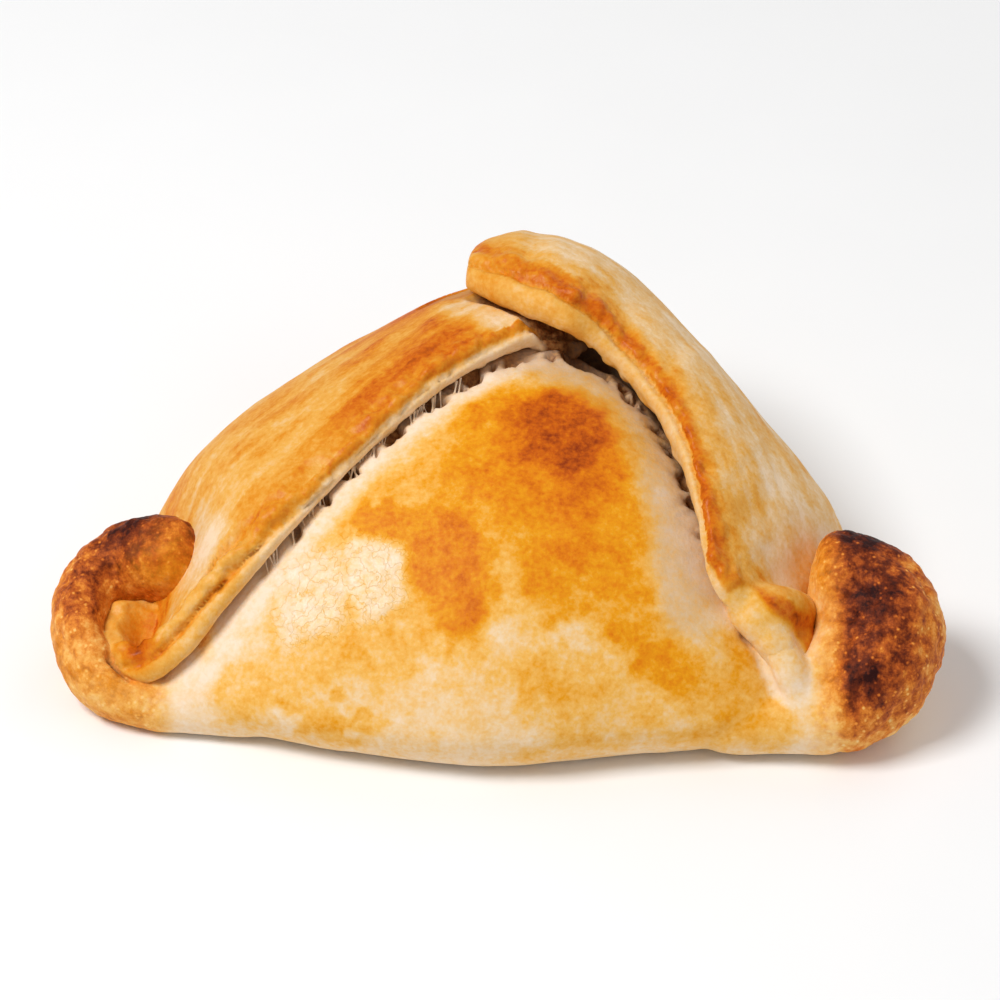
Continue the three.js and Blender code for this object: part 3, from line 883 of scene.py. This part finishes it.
def make_left_flap():
    """The left flap, from the curl at the front corner up to the ridge."""
    points, faces, flap = make_flap(left_seam, "left", seed=100)
    rest = flap.rest
    row = flap.row
    covered, cover_gap, cover_row = right_seam.measure(rest)
    lap = tear_amount(cover_row, LAP_ROWS) * (cover_gap < LAP_REACH)
    points[:, 2] -= LAP_DROP * lap * rise(-0.6, 1.0, covered) * (rest[:, 2] > RIDGE_Z)
    distance, width, depth = STRIP_GROOVE
    strip = tear_amount(row, STRIP_ROWS)
    groove = strip * np.exp(-((flap.behind - distance) / width) ** 2)
    points[:, 2] -= depth * groove
    points, hole = tear_holes(points)

    near_rim = rise(0.30, 0.0, flap.part) * flap.top
    strip_top = strip * rise(0.40, 0.10, flap.part) * flap.top
    top_bake = LEFT_TOP_BAKE + 0.14 * flap.streak + 0.06 * flap.mottle + 0.10 * near_rim
    # the rise by 0.12 from row 9.3 on darkens towards the ridge end as painted shade
    top_bake += 0.12 * rise(9.3, 10.4, row) - 0.08 * np.exp(-((row - 8.8) / 0.8) ** 2)
    top_bake += sum(spot_changes(rest, LEFT_TOP_SPOTS)) - 0.50 * lap * rise(9, 3, cover_gap)
    top_bake += 0.16 * groove - 0.24 * strip_top
    lower_bake = 0.34 - 0.20 * rise(7.4, 8.6, row)
    crest_bake = 0.62 + 0.04 * rise(6.5, 12.5, row) - 0.26 * strip
    bake = flap.outside * top_bake + rim_bake(flap, lower_bake, crest_bake)
    curl = rise(6.2, 4.8, row)
    bake += curl * (CURL_BAKE + 0.06 * flap.mottle - bake)
    # browning and painted shade in the curl's hollow
    bake += np.maximum.reduce(spot_changes(rest, CURL_HOLLOW_BROWN_AND_SHADE_SPOTS))

    # torn colour on the hidden sides, under the right flap's lap and in the hole is partly painted shade
    hidden = HIDDEN_TORN_AND_SHADE * flap.hidden * (1 - curl)
    in_hole = rise(0.3, 0.75, hole)
    torn = np.maximum.reduce([hidden, lap * rise(0.2, 1.4, covered), in_hole])
    return points, faces, {"bake": bake, "torn": torn, "gloss": flap.gloss, "tan": FLAP_TAN}


def make_right_flap():
    """The right flap, from the tongue at the front corner up over the ridge."""
    points, faces, flap = make_flap(right_seam, "right", seed=200, rolls=RIGHT_FLAP_ROLLS)
    rest = flap.rest
    row = flap.row
    mottle = flap.mottle
    near_rim = rise(0.22, 0.0, flap.part) * flap.top * rise(2.4, 3.6, row)
    end = rise(9.6, 11.5, row)
    top_bake = RIGHT_TOP_BAKE + 0.15 * flap.streak + 0.06 * mottle + 0.26 * near_rim
    top_bake += 0.32 * end + sum(spot_changes(rest, RIGHT_TOP_SPOTS_AND_LIGHT))
    crest_bake = 0.76 - 0.30 * end - 0.12 * rise(4.5, 3, row)
    ridge = rise(0.07, 0.0, flap.part) * flap.top
    top_bake += ridge * (crest_bake - top_bake)
    lower_bake = 0.22 + 0.20 * rise(5, 8.5, row) + 0.06 * end
    bake = flap.outside * top_bake + rim_bake(flap, lower_bake, crest_bake) - 0.2 * end * flap.crease

    tongue = rise(*TONGUE_PALE, gap_to([RIGHT_TONGUE], rest))
    # browned trough, darker as painted shade in the recess
    trough_shade = np.clip(1.6 * around(rest, *TROUGH_SHADE_SPOT), 0, 1) * (1 - tongue)
    browned = trough_shade * (TROUGH_BAKE_AND_SHADE + 0.10 * mottle - bake)
    bake += tongue * (tongue_bake(rest, mottle) - bake) + browned
    bake += sum(spot_changes(rest, RIGHT_TUCK_SPOTS))
    cap = rise(11.5, 11.9, row)
    bake += cap * (CAP_BAKE + 0.08 * mottle - bake)
    # torn colour on the hidden sides is partly painted shade
    torn = HIDDEN_TORN_AND_SHADE * flap.hidden * (1 - np.maximum.reduce([tongue, trough_shade, cap]))
    return points, faces, {"bake": bake, "torn": torn, "gloss": flap.gloss, "tan": FLAP_TAN * (1 - tongue)}


def strand_tube(start, end, thickness, sag):
    """A thin strand of dough, pinched in the middle: points and faces."""
    share = np.linspace(0, 1, STRAND_STATIONS)
    bow = 4 * share * (1 - share)
    middle = start + share[:, None] * (end - start)
    middle[:, 2] -= sag * bow
    along = (end - start) / (np.linalg.norm(end - start) + 1e-9)
    side = np.cross(along, [0.3, -0.8, 0.5])
    side /= np.linalg.norm(side)
    above = np.cross(along, side)
    turn = np.linspace(0, 2 * math.pi, STRAND_SIDES, endpoint=False)
    ring = np.cos(turn)[:, None] * side + np.sin(turn)[:, None] * above
    radius = thickness * (1 - STRAND_PINCH * bow)
    return closed_skin(middle[:, None] + radius[:, None, None] * ring[None])


def make_strands(body_points, body_faces):
    """Tufts of stretched dough that bridge the torn left seam."""
    draw = np.random.default_rng(STRAND_SEED)
    ground = BVHTree.FromPolygons(body_points.tolist(), body_faces)
    seam = left_seam
    along = np.gradient(seam.foot, axis=0)
    along /= np.linalg.norm(along, axis=1, keepdims=True)
    tubes = []
    for at in np.searchsorted(seam.row_number, draw.uniform(*STRAND_ROWS, STRAND_TUFTS)):
        across = np.append(seam.across[at], 0.0)
        for _ in range(draw.integers(1, 3)):
            middle = seam.foot[at] + along[at] * draw.normal(0, STRAND_SHIFT)
            low = middle - across * draw.uniform(*STRAND_START)
            hit = ground.ray_cast(Vector(low + [0, 0, STRAND_DROP_FROM]), Vector((0, 0, -1)))[0]
            start = np.array(hit) - [0, 0, STRAND_ROOT]
            end = middle + across * draw.uniform(*STRAND_END) + along[at] * draw.normal(0, STRAND_SLANT)
            end[2] += draw.uniform(*STRAND_END_RISE)
            thickness = draw.uniform(*STRAND_THICKNESS)
            tubes.append(strand_tube(start, end, thickness, draw.uniform(*STRAND_SAG)))
    points, faces = merged(tubes)
    return points, faces, {"bake": STRAND_BAKE, "torn": STRAND_TORN}


def add_piece(name, points, faces, fields, material):
    """Makes a piece of the crust that stands for the solid. A field that isn't given is 0."""
    mesh = bpy.data.meshes.new(name)
    mesh.from_pydata((points - PLAN_CENTRE) * MM, [], faces)
    mesh.update()
    for field in SURFACE_FIELDS:
        values = np.zeros(len(points)) + np.clip(fields.get(field, 0), 0, 1)
        layer = mesh.attributes.new(field, "FLOAT", "POINT")
        layer.data.foreach_set("value", values.astype(np.float32))
    mesh.shade_smooth()
    mesh.materials.append(material)
    piece = add_object(name, mesh)
    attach(piece, "root")
    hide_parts("empanada")


def linear(colour):
    """Opaque light value of a screen colour from 0 to 255."""
    value = np.array(colour) / 255
    return (*np.where(value <= 0.04045, value / 12.92, ((value + 0.055) / 1.055) ** 2.4), 1.0)


class Nodes:
    """Short calls for the nodes of one material."""

    def __init__(self, name):
        self.material = bpy.data.materials.new(name)
        self.material.use_nodes = True
        self.tree = self.material.node_tree
        self.shader = self.tree.nodes["Principled BSDF"]

    def add(self, kind, settings=None, **inputs):
        """A new node with its settings and inputs."""
        node = self.tree.nodes.new(kind)
        for key, value in (settings or {}).items():
            setattr(node, key, value)
        for key, value in inputs.items():
            self.put(node.inputs[key.replace("_", " ")], value)
        return node

    def put(self, socket, value):
        """Links a value to a socket, or sets it there."""
        if isinstance(value, bpy.types.NodeSocket):
            self.tree.links.new(value, socket)
        else:
            socket.default_value = value

    def math(self, operation, first, second):
        """One sum of two values."""
        node = self.add("ShaderNodeMath", {"operation": operation})
        self.put(node.inputs[0], first)
        self.put(node.inputs[1], second)
        return node.outputs[0]

    def plus(self, total, *terms):
        """A value with other values added, each by its weight."""
        for value, weight in terms:
            total = self.math("ADD", total, self.math("MULTIPLY", value, weight))
        return total

    def field(self, name):
        """A surface field of the piece."""
        return self.add("ShaderNodeAttribute", {"attribute_name": name}).outputs["Fac"]

    def noise(self, place, size, detail=3.0, rough=0.55):
        """Noise about 0, with bumps about size mm across."""
        look = {"Scale": 1 / (size * MM), "Detail": detail, "Roughness": rough}
        node = self.add("ShaderNodeTexNoise", Vector=place, **look)
        return self.math("SUBTRACT", node.outputs["Fac"], 0.5)

    def ramp(self, value, stops):
        """Colours along a value."""
        node = self.add("ShaderNodeValToRGB", Fac=value)
        elements = node.color_ramp.elements
        while len(elements) < len(stops):
            elements.new(0.5)
        for element, (position, colour) in zip(elements, stops):
            element.position = position
            element.color = linear(colour)
        return node.outputs["Color"]

    def rise(self, value, low, high):
        """Rises smoothly from 0 at low to 1 at high."""
        smooth = {"interpolation_type": "SMOOTHSTEP"}
        node = self.add("ShaderNodeMapRange", smooth, Value=value, From_Min=low, From_Max=high)
        return node.outputs[0]

    def mix(self, share, first, second):
        """A colour between two."""
        node = self.add("ShaderNodeMix", {"data_type": "RGBA"})
        self.put(node.inputs[0], share)
        self.put(node.inputs[6], first)
        self.put(node.inputs[7], second)
        return node.outputs[2]


# Colours along the browning of the crust, and along the grain of torn dough, whose dark browns also serve
# as painted shade.
GLAZED_CRUST = [
    (0.00, (243, 220, 194)), (0.18, (240, 205, 156)), (0.36, (240, 184, 92)),
    (0.54, (232, 154, 16)), (0.70, (220, 122, 4)), (0.85, (194, 88, 3)), (1.00, (140, 50, 2)),
]
EAR_CRUST = [
    (0.00, (252, 214, 152)), (0.25, (246, 186, 98)), (0.45, (226, 134, 46)),
    (0.62, (184, 88, 28)), (0.80, (112, 42, 12)), (1.00, (44, 6, 3)),
]
FLAP_CRUST = [
    (0.00, (242, 212, 174)), (0.20, (233, 191, 132)), (0.40, (229, 167, 74)),
    (0.60, (220, 138, 32)), (0.80, (204, 98, 8)), (1.00, (136, 48, 4)),
]
TORN_DOUGH_AND_SHADE = [(0.3, (104, 54, 22)), (0.7, (180, 126, 72))]
FLOOR_WHITES = [(0.0, (246, 246, 246)), (1.0, (249, 249, 249))]
SPECULAR_LEVEL = 0.14
DULL_CRUST = 0.58
DULL_FLOOR = 0.9
BUMP_STRENGTH = 0.5
BUMP_HEIGHT = 0.35
SUBSURFACE_WEIGHT = 0.05
SUBSURFACE_RADIUS = (2.5, 1.2, 0.6)
EAR_DOT_SIZE = 0.95


def crust_material():
    """Baked dough: cream to golden glaze, blistered brown ears with painted glints, torn dough and painted
    shade in the seams.
    """
    n = Nodes("crust")
    shader = n.shader.inputs
    place = n.add("ShaderNodeTexCoord").outputs["Object"]
    bake = n.field("bake")
    ear = n.field("ear")
    mottle = n.noise(place, 3.0, 4.0, 0.6)
    speck = n.noise(place, 0.9, 2.0, 0.6)
    grain = n.noise(place, 1.9, 6.0, 0.72)
    fine = n.noise(place, 0.7, 3.0, 0.6)

    # fine wrinkles in the glossy patches, and pale dots on the ears' blisters, painted glints that are
    # also raised in the bump
    ripple = n.math("ABSOLUTE", n.noise(place, 1.7, 2.0, 0.5), 0.0)
    wrinkle = n.math("MULTIPLY", n.rise(ripple, 0.035, 0.0), n.field("wrinkle"))
    cells = n.add("ShaderNodeTexVoronoi", {"feature": "F1"}, Vector=place, Scale=1 / (EAR_DOT_SIZE * MM))
    chosen = n.rise(cells.outputs["Color"], 0.50, 0.72)
    blister_glint_dot = n.math("MULTIPLY", n.rise(cells.outputs["Distance"], 0.42, 0.10), chosen)

    varied = n.plus(bake, (mottle, 0.46), (speck, 0.36), (wrinkle, 0.09))
    # the pale dots lighten the ears as painted glints
    ear_varied = n.plus(bake, (mottle, 0.60), (grain, 1.15), (blister_glint_dot, -0.26))
    colour = n.mix(n.field("tan"), n.ramp(varied, GLAZED_CRUST), n.ramp(varied, FLAP_CRUST))
    colour = n.mix(ear, colour, n.ramp(ear_varied, EAR_CRUST))
    # torn dough colour, which is partly painted shade in pits, holes and under the flaps
    inner = n.ramp(n.math("ADD", speck, 0.5), TORN_DOUGH_AND_SHADE)
    n.put(shader["Base Color"], n.mix(n.field("torn"), colour, inner))

    n.put(shader["Roughness"], n.plus(DULL_CRUST, (n.field("gloss"), -0.34), (speck, 0.10)))
    n.put(shader["Specular IOR Level"], SPECULAR_LEVEL)
    blister = n.plus(0.0, (grain, 1.4), (blister_glint_dot, 0.35))
    relief = n.plus(0.0, (fine, 0.6), (mottle, 0.4), (blister, ear), (wrinkle, -0.35))
    bump = n.add("ShaderNodeBump", Strength=BUMP_STRENGTH, Distance=BUMP_HEIGHT * MM, Height=relief)
    n.put(shader["Normal"], bump.outputs["Normal"])
    n.put(shader["Subsurface Weight"], SUBSURFACE_WEIGHT)
    n.put(shader["Subsurface Radius"], [reach * MM for reach in SUBSURFACE_RADIUS])
    n.put(shader["Subsurface Scale"], 1.0)
    return n.material


def floor_material():
    """Matt white board."""
    n = Nodes("floor")
    place = n.add("ShaderNodeTexCoord").outputs["Object"]
    grain = n.math("ADD", n.noise(place, 40, 2.0), 0.5)
    n.put(n.shader.inputs["Base Color"], n.ramp(grain, FLOOR_WHITES))
    n.put(n.shader.inputs["Roughness"], DULL_FLOOR)
    return n.material


# Pieces of the crust.
crust = crust_material()
body_points, body_faces, body_fields = make_body()
add_piece("crust_body", body_points, body_faces, body_fields, crust)
add_piece("left_flap", *make_left_flap(), crust)
add_piece("right_flap", *make_right_flap(), crust)
add_piece("torn_strands", *make_strands(body_points, body_faces), crust)

# Studio: a camera raised in front of the piece, and a floor and soft lights with sizes in metres.
FLOOR_SIZE = 6.0
TARGET_HEIGHT = 18.0
TARGET = Vector(np.array([0, 0, TARGET_HEIGHT]) - PLAN_CENTRE) * MM
CAMERA_ELEVATION = math.radians(38)
CAMERA_DISTANCE = 620
FOCAL_SHARE = 3.6952
SENSOR_WIDTH = 36.0
# name, direction, distance, size, power
LIGHTS = [
    ("key", (-0.50, -0.22, 0.84), 0.9, 0.34, 6.4),
    ("fill", (0.85, -0.4, 0.45), 1.1, 0.8, 1.6),
    ("back", (0.55, 0.60, 0.60), 1.1, 0.8, 2.1),
]
SKY_STRENGTH = 0.32


def aim(thing, spot):
    """Turns a camera or light to face a spot."""
    thing.rotation_euler = (spot - thing.location).to_track_quat("-Z", "Y").to_euler()


def make_floor():
    """A plain pale board under the piece."""
    half = FLOOR_SIZE / 2
    corners = [(-half, -half, 0), (half, -half, 0), (half, half, 0), (-half, half, 0)]
    mesh = bpy.data.meshes.new("floor")
    mesh.from_pydata(corners, [], [(0, 1, 2, 3)])
    mesh.materials.append(floor_material())
    floor = add_object("floor", mesh)


def make_camera():
    """The camera, at the photo's angle."""
    data = bpy.data.cameras.new("camera")
    data.sensor_width = SENSOR_WIDTH
    data.lens = SENSOR_WIDTH * FOCAL_SHARE
    camera = add_object("camera", data)
    towards = Vector((0, -math.cos(CAMERA_ELEVATION), math.sin(CAMERA_ELEVATION)))
    camera.location = TARGET + towards * CAMERA_DISTANCE * MM
    aim(camera, TARGET)
    bpy.context.scene.camera = camera


def make_light(name, direction, distance, size, power):
    """A square soft light that faces the piece."""
    data = bpy.data.lights.new(name, "AREA")
    data.size = size
    data.energy = power
    light = add_object(name, data)
    light.location = TARGET + Vector(direction).normalized() * distance
    aim(light, TARGET)


def make_sky():
    """Even white light from all sides."""
    world = bpy.data.worlds.new("studio")
    world.use_nodes = True
    background = world.node_tree.nodes["Background"]
    background.inputs["Color"].default_value = (1, 1, 1, 1)
    background.inputs["Strength"].default_value = SKY_STRENGTH
    bpy.context.scene.world = world


make_floor()
make_camera()
for light_row in LIGHTS:
    make_light(*light_row)
make_sky()
bpy.context.scene.view_settings.view_transform = "Standard"
